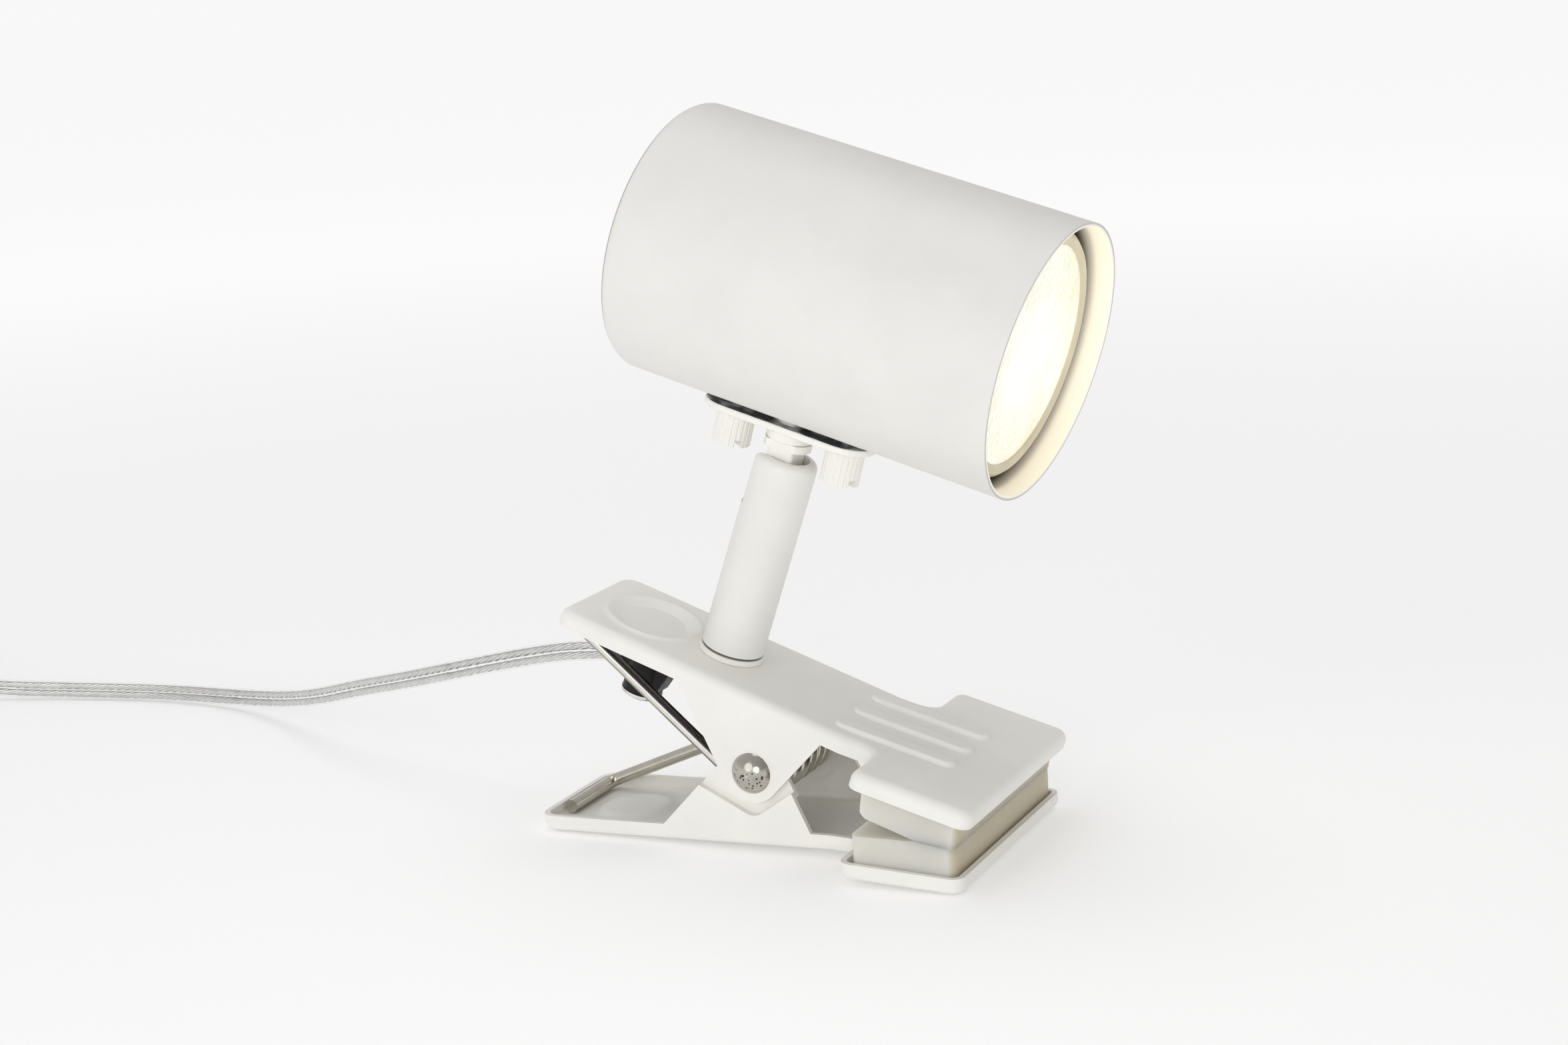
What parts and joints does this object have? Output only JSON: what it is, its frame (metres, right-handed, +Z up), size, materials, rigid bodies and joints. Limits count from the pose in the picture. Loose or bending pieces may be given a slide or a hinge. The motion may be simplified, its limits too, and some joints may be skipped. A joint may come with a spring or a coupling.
{
  "type": "clip-on reading lamp",
  "caption": "Clip-on reading lamp: sprung sheet-metal clamp with silicone pads, short stem, tilting knuckle and a cylindrical shade with a reflector lamp.",
  "frame": {"origin": "on the surface the lower jaw stands on, under the middle of the lamp without its cord", "axes": "+Z up, +X towards the clamp's pads and the lit end of the shade, +Y across the clamp"},
  "size_m": [0.4277, 0.1406, 0.151],
  "materials": {
    "white_paint": "satin off-white paint",
    "inner_paint": "matte ivory paint inside the shade",
    "silicone": "translucent greyish silicone",
    "nickel": "bright nickel plate",
    "zinc": "zinc plated steel",
    "brass": "turned brass",
    "black_plastic": "matte black plastic",
    "clear_pvc": "clear flexible plastic over tinned copper cores",
    "clear_plastic": "clear hard plastic",
    "white_plastic": "white plastic",
    "bezel": "cream lamp body",
    "lens": "prismatic lens, lit warm white",
    "ceramic": "white steatite",
    "lead": "glass-braid sleeved wire"
  },
  "bodies": {
    "clamp_base": {"upper_jaw": "white_paint", "upper_pad": "silicone", "pivot_rivet": "nickel", "spring_upper": "nickel", "stem_collar": "white_paint", "stem_washer": "black_plastic", "stem_nipple": "zinc", "nipple_washer": "zinc", "nipple_nut": "zinc", "cord_grip": "black_plastic", "grip_screw": "zinc", "switch_base": "clear_plastic", "switch_cover": "clear_plastic", "switch_screws": "zinc", "plug_body": "clear_plastic", "plug_pins": "nickel", "cord_lead": "clear_pvc", "cord_link": "clear_pvc", "cord_tail": "clear_pvc", "cord_coil": "clear_pvc"},
    "clamp_jaw": {"lower_jaw": "white_paint", "lower_pad": "silicone", "spring_lower": "nickel"},
    "stem": {"stem_tube": "white_paint", "tilt_pin": "zinc"},
    "neck": {"knuckle": "white_paint"},
    "head": {"swivel_bushing": "white_paint", "swivel_nut": "zinc", "bracket_plate": "white_paint", "knurled_nuts": "white_paint", "bracket_studs": "zinc", "shade": "white_paint", "holder_bracket": "zinc", "lamp_holder": "ceramic", "holder_screws": "zinc", "holder_leads": "lead", "lamp_body": "bezel", "lamp_lens": "lens", "lamp_pins": "zinc"},
    "rocker": {"switch_rocker": "white_plastic"}
  },
  "joints": [
    {"name": "jaw_open", "type": "hinge", "parent": "clamp_base", "child": "clamp_jaw", "pos_m": [-0.0098, 0, 0.01685], "axis": [0, 1, 0], "range_deg": [0, 30], "stiffness_Nm_per_rad": 0.9, "springref_deg": -28.65},
    {"name": "stem_turn", "type": "hinge", "parent": "clamp_base", "child": "stem", "pos_m": [-0.02592, 0, 0.02275], "axis": [0.3437, 0, 0.9391], "range_deg": [-170, 170]},
    {"name": "head_tilt", "type": "hinge", "parent": "stem", "child": "neck", "pos_m": [-0.00804, 0, 0.07158], "axis": [0, 1, 0], "range_deg": [-50, 6]},
    {"name": "head_turn", "type": "hinge", "parent": "neck", "child": "head", "pos_m": [-0.00804, 0, 0.07158], "axis": [0.2857, 0, 0.9583], "range_deg": [-165, 165]},
    {"name": "switch_rock", "type": "hinge", "parent": "clamp_base", "child": "rocker", "pos_m": [-0.30797, 0.02188, 0.0112], "axis": [0.3256, -0.9455, 0], "range_deg": [0, 14]}
  ]
}
